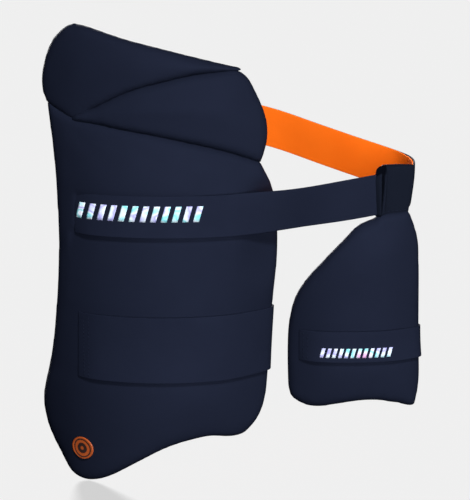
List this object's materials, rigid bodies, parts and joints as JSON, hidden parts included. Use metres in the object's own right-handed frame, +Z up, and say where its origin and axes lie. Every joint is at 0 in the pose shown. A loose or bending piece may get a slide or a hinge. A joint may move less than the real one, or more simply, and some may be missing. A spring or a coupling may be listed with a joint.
{
  "type": "thigh guard",
  "caption": "Padded outer-thigh and hip guard with a smaller inner-thigh pad hung from its waist belt, and elastic straps that close round the leg.",
  "frame": {"origin": "middle of the waist loop, at half the belt's width where it lies on the outer pad, which is where the wearer's waist goes", "axes": "+Z up the wearer's body, +X from the outer pad to the inner pad, +Y from the front of the pads towards the wearer's back"},
  "size_m": [0.3554, 0.2659, 0.4345],
  "materials": {
    "cover": "matte knitted cover over foam",
    "elastic": "matte woven elastic",
    "lining": "matte woven elastic",
    "badge": "matte moulded"
  },
  "bodies": {
    "root": {"thigh_pad": "cover", "hip_pad_lower": "cover", "hip_pad_upper": "cover", "inner_thigh_pad": "cover", "hanger_loop": "cover", "waist_belt": "elastic", "belt_lining": "lining", "thigh_strap": "elastic", "inner_strap": "elastic", "round_badge": "badge"}
  },
  "joints": []
}
